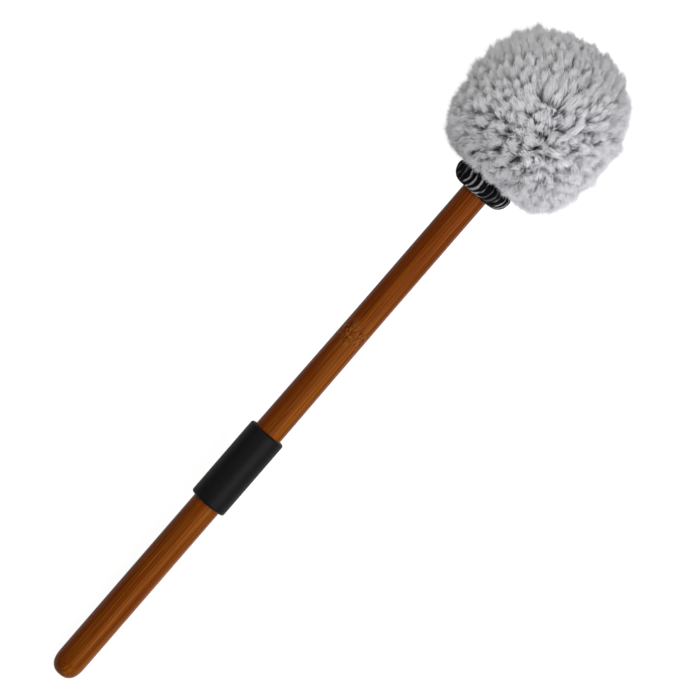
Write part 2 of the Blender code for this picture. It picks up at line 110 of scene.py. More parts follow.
def turned(name, profile, ring=False):
    """A piece turned on a lathe from its profile of (level, radius), shaded smooth. A ring's
    profile is closed.
    """
    shape = bmesh.new()
    spots = [shape.verts.new(placed(level, radius, 0)) for level, radius in profile]
    followers = spots[1:] + spots[:1] if ring else spots[1:]
    edges = [shape.edges.new(pair) for pair in zip(spots, followers)]
    bmesh.ops.spin(
        shape,
        geom=spots + edges,
        cent=butt,
        axis=axis,
        angle=2 * math.pi,
        steps=TURNED_SIDES,
        use_merge=True,
    )
    bmesh.ops.remove_doubles(shape, verts=shape.verts, dist=WELD_DISTANCE)
    bmesh.ops.recalc_face_normals(shape, faces=shape.faces)
    mesh = bpy.data.meshes.new(name)
    shape.to_mesh(mesh)
    shape.free()
    mesh.shade_smooth()
    mesh.set_sharp_from_angle(angle=SHARP_EDGE)
    return added(name, mesh)


def added(name, mesh):
    piece = bpy.data.objects.new(name, mesh)
    bpy.context.scene.collection.objects.link(piece)
    return piece


class Wire:
    """An output in a material's tree. Arithmetic on it adds the Math nodes for the expression."""

    def __init__(self, tree, socket=None):
        self.tree, self.socket = tree, socket

    def node(self, kind, settings=(), values=(), out=0):
        """Adds a node: first its settings, then its sockets' values or links."""
        made = self.tree.nodes.new(kind)
        for name, setting in dict(settings).items():
            if name == "stops":
                self.fill_ramp(made.color_ramp, setting)
            else:
                setattr(made, name, setting)
        for name, value in dict(values).items():
            self.feed(made.inputs[name], value)
        return Wire(self.tree, made.outputs[out] if made.outputs else None)

    def feed(self, socket, value):
        if isinstance(value, Wire):
            self.tree.links.new(value.socket, socket)
        elif socket.type == "RGBA":
            socket.default_value = (*value, 1)
        else:
            socket.default_value = value

    @staticmethod
    def fill_ramp(ramp, stops):
        while len(ramp.elements) < len(stops):
            ramp.elements.new(1)
        for element, (position, colour) in zip(ramp.elements, stops):
            element.position = position
            element.color = (*colour, 1)

    def math(self, operation, *others):
        return self.node("ShaderNodeMath", {"operation": operation}, enumerate((self, *others)))

    def vector(self, operation, other, out=0):
        settings = {"operation": operation}
        return self.node("ShaderNodeVectorMath", settings, {0: self, 1: other}, out)

    def __add__(self, other):
        return self.math("ADD", other)

    __radd__ = __add__

    def __sub__(self, other):
        return self.math("SUBTRACT", other)

    def __rsub__(self, other):
        return self.node("ShaderNodeMath", {"operation": "SUBTRACT"}, {0: other, 1: self})

    def __mul__(self, other):
        return self.math("MULTIPLY", other)

    __rmul__ = __mul__

    def step(self, low, high):
        """A smooth step from 0 at low to 1 at high."""
        values = {"Value": self, "From Min": low, "From Max": high}
        return self.node("ShaderNodeMapRange", {"interpolation_type": "SMOOTHSTEP"}, values)

    def blend(self, first, second):
        """Two colours mixed by this value."""
        values = {0: self, 6: first, 7: second}
        return self.node("ShaderNodeMix", {"data_type": "RGBA"}, values, out=2)

    def dyed(self, colour):
        """This colour times another."""
        settings = {"data_type": "RGBA", "blend_type": "MULTIPLY"}
        return self.node("ShaderNodeMix", settings, {0: 1.0, 6: self, 7: colour}, out=2)

    def noise(self, scale, detail=2, roughness=0.5):
        """Soft noise over the places that this vector gives."""
        values = {"Vector": self, "Scale": scale, "Detail": detail, "Roughness": roughness}
        return self.node("ShaderNodeTexNoise", values=values)

    def bump(self, distance):
        """A surface normal from this height."""
        values = {"Height": self, "Distance": distance, "Strength": 1.0}
        return self.node("ShaderNodeBump", values=values)

    def part(self, letter):
        """One coordinate of this vector."""
        return self.node("ShaderNodeSeparateXYZ", values={0: self}, out=letter)


def finish(name, **fixed):
    """A Principled material. Returns it, its shader and the place on the object as a wire."""
    material = bpy.data.materials.new(name)
    material.use_nodes = True
    shader = material.node_tree.nodes["Principled BSDF"]
    for words, value in fixed.items():
        shader.inputs[words.replace("_", " ")].default_value = value
    place = Wire(material.node_tree).node("ShaderNodeTexCoord", out="Object")
    return material, shader, place


def level_at(place):
    """How far along the mallet a place on it is."""
    return place.vector("DOT_PRODUCT", axis, "Value") - axis.dot(butt)


def stretched(place, across, along):
    """A place as (across, upwards, along the mallet), with a factor for each way."""
    height = place.vector("DOT_PRODUCT", above, "Value") - above.dot(butt)
    sideways = place.vector("DOT_PRODUCT", side, "Value")
    values = {"X": sideways * across, "Y": height * across, "Z": level_at(place) * along}
    return place.node("ShaderNodeCombineXYZ", values=values)


def paint(shader, **looks):
    """Feeds what changes over a surface to its shader's sockets."""
    for words, look in looks.items():
        look.feed(shader.inputs[words.replace("_", " ")], look)


def dress(piece, material):
    piece.data.materials.clear()
    piece.data.materials.append(material)


SHOULDER_SHARE = 0.9
SHOULDER_REACH = 0.001
shaft_levels, shaft_radii = levels_and_radii("bamboo_shaft")
butt_radius = shaft_radii.max()
shoulder_level = shaft_levels[shaft_radii > SHOULDER_SHARE * butt_radius].max()
neck_radius = shaft_radii[shaft_levels > shoulder_level - SHOULDER_REACH].max()
tenon_top = shaft_levels.max()
TAPER_START = 0.140
TAPER_LENGTH = 0.109
BUTT_ROUNDING = 0.0105
BUTT_SQUARENESS = 2.5
BUTT_STEPS = 24
TENON_RADIUS = 0.0060
TENON_CHAMFER = 0.0008
PILOT_RADIUS = 0.0023
PILOT_DEPTH = 0.0156

shaft_profile = [
    (tenon_top - PILOT_DEPTH, 0),
    (tenon_top - PILOT_DEPTH, PILOT_RADIUS),
    (tenon_top, PILOT_RADIUS),
    (tenon_top, TENON_RADIUS - TENON_CHAMFER),
    (tenon_top - TENON_CHAMFER, TENON_RADIUS),
    (shoulder_level, TENON_RADIUS),
    (shoulder_level, neck_radius),
    (TAPER_START + TAPER_LENGTH, neck_radius),
    (TAPER_START, butt_radius),
]
for step in range(BUTT_STEPS + 1):
    quarter = math.radians(90 * step / BUTT_STEPS)
    across, along = math.cos(quarter), math.sin(quarter)
    reach = (across**BUTT_SQUARENESS + along**BUTT_SQUARENESS) ** (-1 / BUTT_SQUARENESS)
    radius = butt_radius * reach * across if step < BUTT_STEPS else 0
    shaft_profile.append((BUTT_ROUNDING * (1 - reach * along), radius))
shaft = turned("turned_shaft", shaft_profile)

NODE_LEVEL = 0.232
NODE_REACH = (0.002, 0.009)
TRAIL_LENGTH = 0.045
SHADED_SIDE_EDGE = 0.0022
# Dark toasted streaks; the same colour is also painted shade on the shaft's +Y side
TOASTED_AND_SHADED = (0.062, 0.009, 0.001)
STRAW = (0.21, 0.075, 0.009)
DARK_FIBRE = (0.050, 0.007, 0.001)
PALE_HAIR = (0.30, 0.13, 0.02)
PALE_TRAIL = (0.26, 0.10, 0.02)
PALE_DASH = (0.25, 0.11, 0.03)
DARK_DASH = (0.035, 0.003, 0.001)
FIBRE_RELIEF = 0.00003

bamboo, bamboo_shader, place = finish(
    "carbonised_bamboo", Specular_IOR_Level=0.05, Specular_Tint=(1.0, 0.62, 0.28, 1)
)
tone = stretched(place, 420, 5).noise(1.0, 3, 0.6).step(0.3, 0.7)
fibre = stretched(place, 1150, 9).noise(1.0, 3, 0.7)
streak = stretched(place, 760, 7).noise(1.0, 2)
hair = stretched(place, 3000, 20).noise(1.0, 1).step(0.58, 0.70)
dashes = stretched(place, 2400, 480).noise(1.0, 1)
level = level_at(place)
near_node = 1 - (level - NODE_LEVEL).math("ABSOLUTE").step(*NODE_REACH)
trail = (level - (NODE_LEVEL - TRAIL_LENGTH)).step(0.0, 0.04)
trail = trail * (1 - (level - NODE_LEVEL).step(0.0, 0.012))
warm = tone.blend((0.098, 0.019, 0.001), (0.158, 0.040, 0.002))
ruddy = tone.blend((0.085, 0.013, 0.001), (0.140, 0.031, 0.002))
colour = level.step(0.17, 0.30).blend(warm, ruddy)
# The +Y side, away from the key lamp, is painted darker and gets fewer pale streaks: painted shade
shaded_side = place.vector("DOT_PRODUCT", side, "Value").step(-SHADED_SIDE_EDGE, SHADED_SIDE_EDGE)
colour = (shaded_side * 0.62).blend(colour, TOASTED_AND_SHADED)
colour = (streak.step(0.52, 0.60) * 0.45).blend(colour, TOASTED_AND_SHADED)
pale = (1 - streak.step(0.38, 0.46)) * (0.38 - shaded_side * 0.26)
colour = pale.blend(colour, STRAW)
colour = (fibre.step(0.52, 0.62) * 0.55).blend(colour, DARK_FIBRE)
colour = (hair * 0.25).blend(colour, PALE_HAIR)
colour = (trail * fibre.step(0.56, 0.62) * 0.35).blend(colour, PALE_TRAIL)
colour = (near_node * dashes.step(0.58, 0.64) * 0.5).blend(colour, PALE_DASH)
colour = (near_node * (1 - dashes.step(0.38, 0.46)) * 0.8).blend(colour, DARK_DASH)
relief = (fibre + dashes * near_node).bump(FIBRE_RELIEF)
paint(bamboo_shader, Base_Color=colour, Roughness=0.18 + fibre * 0.10, Normal=relief)
dress(shaft, bamboo)
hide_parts("bamboo_shaft")
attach(shaft, "mallet")


# Rubber sleeve
# A plain black rubber tube with softly rounded ends, stretched on to the shaft from the butt. It
# marks the grip, and slides when it is pushed hard.

sleeve_levels, sleeve_radii = levels_and_radii("grip_sleeve")
sleeve_start, sleeve_end = sleeve_levels.min(), sleeve_levels.max()
SLEEVE_EDGE = 0.0013
EDGE_STEPS = 8
BORE_CHAMFER = 0.0004


def quarter_round(level, radius, size, start):
    """Points along a quarter circle round a centre, as (level, radius)."""
    angles = [math.radians(start + 90 * step / EDGE_STEPS) for step in range(EDGE_STEPS + 1)]
    return [(level + size * math.sin(a), radius + size * math.cos(a)) for a in angles]


bore = sleeve_radii.min()
corner = sleeve_radii.max() - SLEEVE_EDGE
sleeve_profile = quarter_round(sleeve_end - SLEEVE_EDGE, corner, SLEEVE_EDGE, 0)[::-1]
sleeve_profile += quarter_round(sleeve_start + SLEEVE_EDGE, corner, SLEEVE_EDGE, -90)[::-1]
sleeve_profile += [
    (sleeve_start, bore + BORE_CHAMFER),
    (sleeve_start + BORE_CHAMFER, bore),
    (sleeve_end - BORE_CHAMFER, bore),
    (sleeve_end, bore + BORE_CHAMFER),
]
sleeve = turned("rubber_sleeve", sleeve_profile, ring=True)

SPECK_RELIEF = 0.00005
rubber, rubber_shader, place = finish("black_rubber", Specular_IOR_Level=0.065)
specks = place.noise(2600, 2).bump(SPECK_RELIEF)
bloom = place.noise(140, 3)
colour = bloom.blend((0.0016, 0.0016, 0.0019), (0.0034, 0.0034, 0.0042))
paint(rubber_shader, Base_Color=colour, Roughness=0.42 + bloom * 0.12, Normal=specks)
dress(sleeve, rubber)
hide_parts("grip_sleeve")
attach(sleeve, "sleeve")


# Core, washer and screw
# A turned hardwood core sits on the tenon, drawn down by one slotted wood screw over a plated
# steel washer. The core keeps its lathe rings; the screw and the washer are bright zinc.

LATHE_RINGS = 5200
LATHE_RELIEF = 0.00006
SCUFF_RELIEF = 0.00002
SCUFFED = 0.82

wood, wood_shader, place = finish("turned_hardwood", Specular_IOR_Level=0.3)
rings = stretched(place, 300, 60).noise(1.0, 4)
pores = stretched(place, 2200, 220).noise(1.0, 2).step(0.56, 0.7)
colour = rings.step(0.3, 0.7).blend((0.50, 0.31, 0.16), (0.62, 0.43, 0.25))
colour = (pores * 0.5).blend(colour, (0.30, 0.17, 0.08))
lathe_rings = (level_at(place) * LATHE_RINGS).math("SINE")
relief = (lathe_rings * 0.2 + rings).bump(LATHE_RELIEF)
paint(wood_shader, Base_Color=colour, Roughness=0.5 + pores * 0.2, Normal=relief)
dress(nodes["head_core"], wood)

for node, base, rough in (
    ("core_washer", (0.60, 0.60, 0.62), 0.30),
    ("core_screw", (0.55, 0.55, 0.56), 0.24),
):
    plating, plating_shader, place = finish(f"{node}_plating", Metallic=1.0)
    scuffs = place.noise(900, 3)
    brushed = place.noise(5000, 1).bump(SCUFF_RELIEF)
    colour = scuffs.blend(tuple(SCUFFED * value for value in base), base)
    paint(plating_shader, Base_Color=colour, Roughness=rough + scuffs * 0.2, Normal=brushed)
    dress(nodes[node], plating)


# Felt
# Pressed wool felt makes the head's body: one strip wound twice round the core, a domed disc
# over its far end and a ring under it, round the shaft.

FELT_RELIEF = 0.0003
felt, felt_shader, place = finish("pressed_felt", Specular_IOR_Level=0.1, Sheen_Weight=0.2)
clouds = place.noise(220, 4)
hairs = place.noise(1900, 4, 0.7)
colour = clouds.blend((0.52, 0.50, 0.45), (0.68, 0.66, 0.61))
colour = (hairs.step(0.55, 0.75) * 0.35).blend(colour, (0.40, 0.38, 0.34))
relief = (hairs + clouds).bump(FELT_RELIEF)
paint(felt_shader, Base_Color=colour, Roughness=0.82 + hairs * 0.16, Normal=relief)
for node in ("felt_wrap", "felt_crown", "felt_base"):
    dress(nodes[node], felt)


# Fleece cover
# A bag of deep-pile fleece is drawn over the felt and in round the neck. A knitted backing
# carries the pile, which stands in soft tufts of several locks each: combed over on one side,
# matted on one flank, parted on the other, and loose and upright on top.

PILE_SEED = 11
PILE_CENTRE_RISE = 0.0224
random = np.random.default_rng(PILE_SEED)
belly_level = levels_and_radii("head_core")[0].min() + PILE_CENTRE_RISE
belly = np.array(butt + axis * belly_level)
cover_low, cover_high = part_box("fleece_cover")
head_radius = (cover_high.y - cover_low.y) / 2
cover_mesh = nodes["fleece_cover"].data
cover_tree = BVHTree.FromPolygons(
    [vertex.co for vertex in cover_mesh.vertices],
    [face.vertices for face in cover_mesh.polygons],
)


def unit(vectors):
    return vectors / np.linalg.norm(vectors, axis=-1, keepdims=True)


def reach_of(directions):
    """How far out from the belly's centre the cover reaches in each direction."""
    starts = belly + 3 * head_radius * directions
    found = [cover_tree.ray_cast(start, way)[0] for start, way in zip(starts, -directions)]
    return np.linalg.norm(np.array(found) - belly, axis=1)


collar_levels, collar_radii = levels_and_radii("collar_casing")
collar_bottom, collar_top = collar_levels.min(), collar_levels.max()
collar_radius = collar_radii.max()
mouth = -np.array(axis)
MOUTH_ANGLE = 24.0
CUFF_ANGLE = 22.5
MOUTH_OVERLAP = 0.0012
BACKING_DEPTH = 0.0088
SKIN = 0.0005
LINING_SHARE = 0.9
backing_mesh = cover_mesh.copy()
backing_mesh.name = "fleece_backing"
backing = added("fleece_backing", backing_mesh)
shape = bmesh.new()
shape.from_mesh(backing_mesh)
bmesh.ops.remove_doubles(shape, verts=shape.verts, dist=WELD_DISTANCE)
outs = np.array([vertex.co for vertex in shape.verts]) - belly
ways = unit(outs)
far = np.linalg.norm(outs, axis=1)
on_outside = (far > reach_of(ways) - SKIN) & (far > LINING_SHARE * (belly_level - collar_top))
for vertex, outside, way in zip(shape.verts, on_outside, ways):
    if outside and way @ mouth < math.cos(math.radians(CUFF_ANGLE)):
        vertex.co = Vector(vertex.co) - Vector(way) * BACKING_DEPTH
shape.to_mesh(backing_mesh)
shape.free()
if "custom_normal" in backing_mesh.attributes:
    backing_mesh.attributes.remove(backing_mesh.attributes["custom_normal"])
backing_mesh.shade_smooth()

LOOP_RELIEF = 0.0003
knit, knit_shader, place = finish("knitted_backing", Roughness=0.95, Specular_IOR_Level=0.1)
loops = stretched(place, 1400, 1400).noise(1.0, 2)
# The backing is coloured nearly black: painted shade for the depths of the pits in the pile
colour = loops.blend((0.07, 0.07, 0.072), (0.16, 0.16, 0.165))
paint(knit_shader, Base_Color=colour, Normal=loops.bump(LOOP_RELIEF))
dress(backing, knit)
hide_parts("fleece_cover")
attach(backing, "mallet")

PILE_LENGTH = 0.0100
TUFT_SPACING = 0.0055
TUFT_UNEVENNESS = 0.16
LOCK_SPACING = 0.0023
LOCK_UNEVENNESS = 0.20
CROWDING = 1.1
STRANDS_PER_LOCK = 20
STRAND_RADIUS = 0.00012
STRAND_RINGS = 3
PILE_PIECES = 10
SHAFT_ANGLE = math.radians(49.12)
COMBED_LIFT = 0.9
COMBED_REACH = (80, 48)
MATTED_ASIDE = 1.1
MATTED_REACH = (54, 20)
UPRIGHT_SHIFT = 0.28
UPRIGHT_REACH = (44, 14)
MOUTH_REACH = (56, 30)
ANY_PHASE = (0, 6.28)
brushed_to = np.array((math.sin(SHAFT_ANGLE), math.cos(SHAFT_ANGLE), 0.0))


def spread(spacing, unevenness):
    """Directions spread over the whole head but its mouth, a spacing apart on its surface."""
    count = int(4 * math.pi * (head_radius / spacing) ** 2 * CROWDING)
    turns = (np.arange(count) + 0.5) * math.pi * (1 + math.sqrt(5))
    height = 1 - 2 * (np.arange(count) + 0.5) / count
    flat = np.sqrt(1 - height**2)
    found = np.stack([flat * np.cos(turns), flat * np.sin(turns), height], axis=1)
    found += random.normal(scale=unevenness * spacing / head_radius, size=found.shape)
    found = unit(found)
    return found[found @ mouth < math.cos(math.radians(MOUTH_ANGLE))]


def tangent(vectors, normals):
    return vectors - (vectors * normals).sum(axis=1, keepdims=True) * normals


def slow_noise(directions, scale, seed):
    """A smooth random vector for each direction, from six waves."""
    waves = np.random.default_rng(seed).normal(size=(6, 3, 3))
    phases = np.random.default_rng(seed + 1).uniform(*ANY_PHASE, size=(6, 3))
    total = np.zeros_like(directions)
    for wave, phase in zip(waves, phases):
        total += np.sin(directions @ wave.T * scale + phase)
    return total / 3


def smooth_step(values, low, high):
    share = np.clip((values - low) / (high - low), 0, 1)
    return share * share * (3 - 2 * share)


def within(directions, middle, outer, inner):
    """1 up to an inner angle from a middle direction, and 0 from an outer angle, in degrees."""
    least, most = math.cos(math.radians(outer)), math.cos(math.radians(inner))
    return smooth_step(directions @ middle, least, most)


def on_surface(points, heights):
    """Moves points in or out from the belly's centre to a height over the cover's surface."""
    ways = unit(points - belly)
    return belly + ways * (reach_of(ways) + heights)[:, None]


def bulge(directions, from_axis, height, extent):
    """A gentle swelling of the stuffed head, on its side, centred so many degrees from its tip."""
    turned_by = math.radians(from_axis)
    middle = np.array(axis) * math.cos(turned_by) + np.array(side) * math.sin(turned_by)
    return height * within(directions, middle, extent, 0)


# Where the pile differs over the head
tufts = spread(TUFT_SPACING, TUFT_UNEVENNESS)
tuft_radius = TUFT_SPACING / 2
flank = np.array((-brushed_to[1], brushed_to[0], 0))
combed_middle = unit(brushed_to + np.array((0, 0, COMBED_LIFT)))
matted_middle = unit(brushed_to + MATTED_ASIDE * flank)
upright_middle = unit(np.array((0, 0, 1)) - UPRIGHT_SHIFT * brushed_to)
woolly = 1 - within(tufts, combed_middle, *COMBED_REACH)
matted = within(tufts, matted_middle, *MATTED_REACH)
upright = within(tufts, upright_middle, *UPRIGHT_REACH)
parted = smooth_step(tufts @ -flank, 0.2, 0.8)
sheltered = smooth_step(tufts @ -brushed_to, 0.0, 0.6)
at_mouth = within(tufts, mouth, *MOUTH_REACH)
at_rim = 1 - smooth_step(np.abs(tufts[:, 2]), 0.25, 0.6)

# How far each tuft leans, as a share of the pile's length
brush = (0.20 + 0.20 * (1 - woolly)) * (1 - at_mouth)
tuft_lean = brush[:, None] * tangent(np.tile(brushed_to, (len(tufts), 1)), tufts)
tuft_lean += 0.06 * tangent(slow_noise(tufts, 3.0, 5), tufts)
stray = (0.10 + 0.07 * woolly + 0.12 * upright) * (1 - 0.7 * at_mouth)
aside = np.clip(random.normal(size=tufts.shape), -1.5, 1.5)
tuft_lean += stray[:, None] * tangent(aside, tufts)

# How far each tuft's tip stands over the cover. Some are sunken, which makes pits.
TUFT_HEIGHT = 0.0024
HEIGHT_SCATTER = 0.0005
PIT_DEPTH = 0.0026
BULGES = (
    (7, -0.0014, 28),
    (62, 0.0014, 40),
    (112, -0.0013, 24),
    (-30, 0.0014, 26),
    (-104, -0.0012, 48),
    (-140, 0.0003, 28),
)
tuft_height = (1 - 0.2 * matted) * (1 - 0.4 * sheltered)
tuft_height *= random.normal(scale=HEIGHT_SCATTER, size=len(tufts))
tuft_height += TUFT_HEIGHT - 0.0003 * matted + 0.0004 * at_mouth
for from_axis, height, extent in BULGES:
    tuft_height += bulge(tufts, from_axis, height, extent)
pit_chance = 0.05 + 0.14 * matted + 0.13 * parted
pit_chance *= 1 - 0.8 * sheltered
pit_chance *= 1 - 0.7 * upright
sunken = random.random(len(tufts)) < pit_chance
tuft_height -= sunken * (PIT_DEPTH + 0.0012 * parted + 0.0008 * matted)
tuft_tips = belly + tufts * reach_of(tufts)[:, None] + tuft_lean * PILE_LENGTH
tuft_tips = on_surface(tuft_tips, tuft_height)

# Each tuft's locks, which are drawn towards its tip and stand lower round its edge
LOCK_SCATTER = 0.0003
LOCK_ROUNDING = 0.0017
locks = spread(LOCK_SPACING, LOCK_UNEVENNESS)
tuft_of = (locks @ tufts.T).argmax(axis=1)
lock_wool = woolly[tuft_of]
off_centre = np.linalg.norm(locks - tufts[tuft_of], axis=1) * head_radius / tuft_radius
jitter = (0.07 + 0.05 * lock_wool) * (1 - 0.7 * at_mouth[tuft_of])
lock_lean = tuft_lean[tuft_of] + jitter[:, None] * tangent(random.normal(size=locks.shape), locks)
lock_tips = belly + locks * reach_of(locks)[:, None] + lock_lean * PILE_LENGTH
gathered = (0.48 - 0.10 * lock_wool) * (1 - 0.35 * upright[tuft_of])
lock_tips += gathered[:, None] * (tuft_tips[tuft_of] - lock_tips)
rounding = (LOCK_ROUNDING - 0.0003 * lock_wool) * np.minimum(off_centre, 1.35) ** 3
rounding *= (1 - 0.7 * at_mouth[tuft_of]) * (1 - 0.3 * matted[tuft_of])
rounding *= (1 - 0.35 * sheltered[tuft_of]) * (1 - 0.2 * upright[tuft_of])
rounding *= 1 - 0.45 * at_rim[tuft_of]
lock_height = tuft_height[tuft_of] - rounding
lock_height += random.normal(scale=LOCK_SCATTER, size=len(locks))
lock_tips = on_surface(lock_tips, lock_height)
lock_bend = 0.35 * lock_wool[:, None] * tangent(random.normal(size=locks.shape), locks)
lock_roots = belly + locks * (reach_of(locks) - PILE_LENGTH)[:, None]
# Each lock's lightness is a random tone, with painted shade on the matted flank and the sheltered
# side, and painted light on the upright top
lock_shade_and_tone = 1.08 - 0.26 * random.random(len(locks)) - 0.36 * matted[tuft_of]
lock_shade_and_tone += 0.28 * upright[tuft_of] - 0.20 * sheltered[tuft_of]

SCALLOPS = 12
SCALLOP_DEPTH = 0.0007
EDGE_SCATTER = 0.0009
COLLAR_MARGIN = 0.0004
COLLAR_GAP = 0.0002


def kept_clear(points):
    """Keeps pile above the ground that the head rests on, and outside the collar, over which its
    edge hangs a little, in scallops.
    """
    points[..., 2] = np.maximum(points[..., 2], 1.5 * STRAND_RADIUS)
    along = (points - np.array(butt)) @ np.array(axis)
    out = points - np.array(butt) - along[..., None] * np.array(axis)
    around = np.arctan2(out @ np.array(above), out @ np.array(side))
    scallops = np.sin(SCALLOPS * around + 3 * np.sin(2 * around))
    edge = collar_top - MOUTH_OVERLAP + SCALLOP_DEPTH * scallops
    edge = edge + EDGE_SCATTER * random.normal(size=len(points))[:, None]
    along = np.maximum(along, edge)
    foot = np.array(butt) + along[..., None] * np.array(axis)
    radius = np.linalg.norm(out, axis=-1, keepdims=True)
    beside_collar = along < collar_top + COLLAR_MARGIN
    least = np.where(beside_collar, collar_radius + COLLAR_GAP, 0)[..., None]
    return foot + out * np.maximum(1, least / radius)


SIDES = 3
KNEE_SHARE = 0.6
CRIMP_WAVES = 8
GIRTHS = np.array([0.9, 1.1, 0.9])
LIGHTNESS_COLUMNS = 64
COLUMN_MARGIN = 0.08
ROW_MARGIN = 0.01


def strand_faces():
    """The faces of one strand, as its vertices' numbers, and their corners' places on its map."""
    faces, spots = [[2, 1, 0]], [[(0.1, 0.0), (0.5, 0.0), (0.9, 0.0)]]
    for row in range(STRAND_RINGS):
        low, high = row / STRAND_RINGS, (row + 1) / STRAND_RINGS
        for corner in range(SIDES):
            a, b = row * SIDES + corner, row * SIDES + (corner + 1) % SIDES
            left, right = corner / SIDES, (corner + 1) / SIDES
            if row < STRAND_RINGS - 1:
                faces.append([a, b, b + SIDES, a + SIDES])
                spots.append([(left, low), (right, low), (right, high), (left, high)])
            else:
                faces.append([a, b, SIDES * STRAND_RINGS])
                spots.append([(left, low), (right, low), ((left + right) / 2, high)])
    return faces, spots


def pile(name, roots, tips, rising, shades_and_tones, crimp):
    """One mesh of closed, tapering strands, each bent over from its root to its tip. A strand's
    map runs up one narrow column, whose place across the map is its lightness: painted shade over a
    random tone.
    """
    count = len(roots)
    knees = roots + rising * PILE_LENGTH * KNEE_SHARE
    t = np.linspace(0, 1, STRAND_RINGS + 1)[None, :, None]
    line = (1 - t) ** 2 * roots[:, None] + 2 * t * (1 - t) * knees[:, None] + t**2 * tips[:, None]
    chord = unit(tips - roots)
    first = unit(np.cross(chord, unit(random.normal(size=chord.shape))))
    second = np.cross(chord, first)
    phase = random.uniform(*ANY_PHASE, size=(count, 1, 1))
    line += crimp[:, None, None] * t * np.sin(CRIMP_WAVES * t + phase) * first[:, None]
    line = kept_clear(line)
    girth = STRAND_RADIUS * GIRTHS
    corners = np.radians(360 / SIDES * np.arange(SIDES))
    ring = np.cos(corners)[:, None] * first[:, None] + np.sin(corners)[:, None] * second[:, None]
    rings = line[:, :-1, None] + girth[None, :, None, None] * ring[:, None]
    vertices = np.concatenate([rings.reshape(count, -1, 3), line[:, -1:]], axis=1)
    faces, spots = strand_faces()
    firsts = vertices.shape[1] * np.arange(count)
    loops = (np.concatenate(faces)[None, :] + firsts[:, None]).ravel()
    sizes = np.tile([len(face) for face in faces], count)
    starts = np.concatenate([[0], np.cumsum(sizes)[:-1]])
    strand_uv = np.concatenate(spots)
    columns = np.floor(shades_and_tones * LIGHTNESS_COLUMNS) / LIGHTNESS_COLUMNS
    in_column = COLUMN_MARGIN + (1 - 2 * COLUMN_MARGIN) * strand_uv[None, :, 0]
    u = columns[:, None] + in_column / LIGHTNESS_COLUMNS
    v = np.broadcast_to(ROW_MARGIN + (1 - 2 * ROW_MARGIN) * strand_uv[None, :, 1], u.shape)
    mesh = bpy.data.meshes.new(name)
    mesh.vertices.add(count * vertices.shape[1])
    mesh.vertices.foreach_set("co", vertices.astype(np.float32).ravel())
    mesh.loops.add(len(loops))
    mesh.loops.foreach_set("vertex_index", loops.astype(np.int32))
    mesh.polygons.add(len(starts))
    mesh.polygons.foreach_set("loop_start", starts.astype(np.int32))
    mesh.update(calc_edges=True)
    layer = mesh.uv_layers.new(name="OFBake")
    layer.data.foreach_set("uv", np.stack([u, v], axis=-1).astype(np.float32).ravel())
    mesh.shade_smooth()
    return added(name, mesh)


pile_finish, pile_shader, place = finish(
    "fleece_pile", Roughness=0.9, Specular_IOR_Level=0.1, Sheen_Weight=0.15, Sheen_Roughness=0.5
)
# Each strand darkens from its tip down to its root: painted shade for the depth of the pile
ROOT_TO_TIP_SHADE = (
    (0.0, (0.18, 0.18, 0.182)),
    (0.4, (0.43, 0.43, 0.436)),
    (0.65, (0.65, 0.65, 0.668)),
    (0.85, (0.76, 0.76, 0.795)),
    (1.0, (0.79, 0.79, 0.828)),
)
strand_place = place.node("ShaderNodeUVMap", {"uv_map": "OFBake"})
shade = place.node("ShaderNodeValToRGB", {"stops": ROOT_TO_TIP_SHADE}, {"Fac": strand_place.part("Y")})
# The column sets each strand's lightness, which multiplies its painted root-to-tip shade
shade_and_tone = (strand_place.part("X") * LIGHTNESS_COLUMNS).math("FLOOR") * (1 / LIGHTNESS_COLUMNS)
paint(pile_shader, Base_Color=shade.dyed(shade_and_tone.blend((0.66, 0.655, 0.647), (1.03, 1.03, 1.03))))

SCATTER_LIMIT = 1.6
ROOT_SCATTER = 0.0010
TIP_SCATTER = 0.0006
TIP_WANDER = 0.0003
SHORTEST_BY = 0.18
FLYAWAY_SHARE = 0.03
FLYAWAY = 0.0008
CRIMP = 0.0003
WOOL_SCATTER = 0.0002
WOOL_WANDER = 0.0003
WOOL_CRIMP = 0.0008
SHADE_FALL = 0.40
TINT_SCATTER = 0.06
LIGHTEST = 0.99

